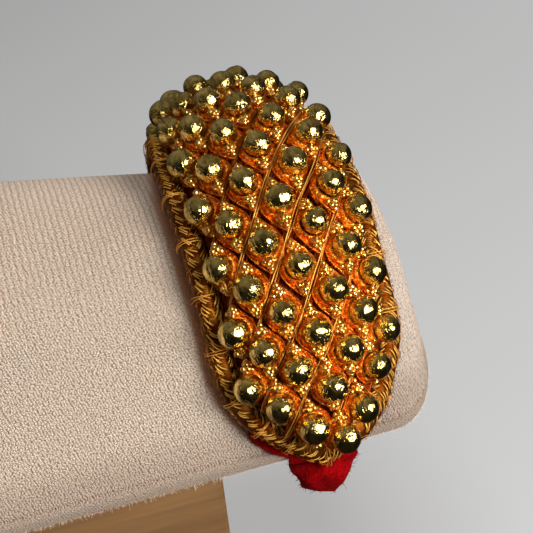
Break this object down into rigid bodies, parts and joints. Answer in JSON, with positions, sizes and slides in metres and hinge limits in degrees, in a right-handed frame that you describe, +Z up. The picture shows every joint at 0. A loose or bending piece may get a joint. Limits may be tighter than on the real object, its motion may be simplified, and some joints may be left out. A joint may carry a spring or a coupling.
{
  "type": "pochi bracelet on a padded bar display stand",
  "caption": "Domed pochi bracelet of gold balls on lozenge plates, with a wound gold edge roll and red velvet backing, looped round a padded bar on a wooden block.",
  "frame": {"origin": "centre of the wooden block's underside", "axes": "+X along the bar toward the bracelet, -Y toward the front that the picture shows, +Z up"},
  "size_m": [0.14, 0.0798, 0.1062],
  "materials": {
    "wood": "satin, light brown, grain along the bar",
    "suede": "beige suede cloth with a fine knit texture",
    "velvet": "deep red velvet with a short pile",
    "clasp_metal": "polished gold plate",
    "pad_cloth": "dark red-orange cloth seen in the grooves",
    "zari": "metallic gold thread, wound and stitched",
    "gold": "mirror-polished pale gold"
  },
  "bodies": {
    "root": {"wood_block": "wood", "display_bar": "suede", "velvet_backing": "velvet", "strap_front": "velvet", "strap_back": "velvet", "clasp": "clasp_metal", "pad": "pad_cloth", "edge_roll": "zari", "units_front": "gold", "units_back": "gold", "string_threads": "zari"}
  },
  "joints": []
}
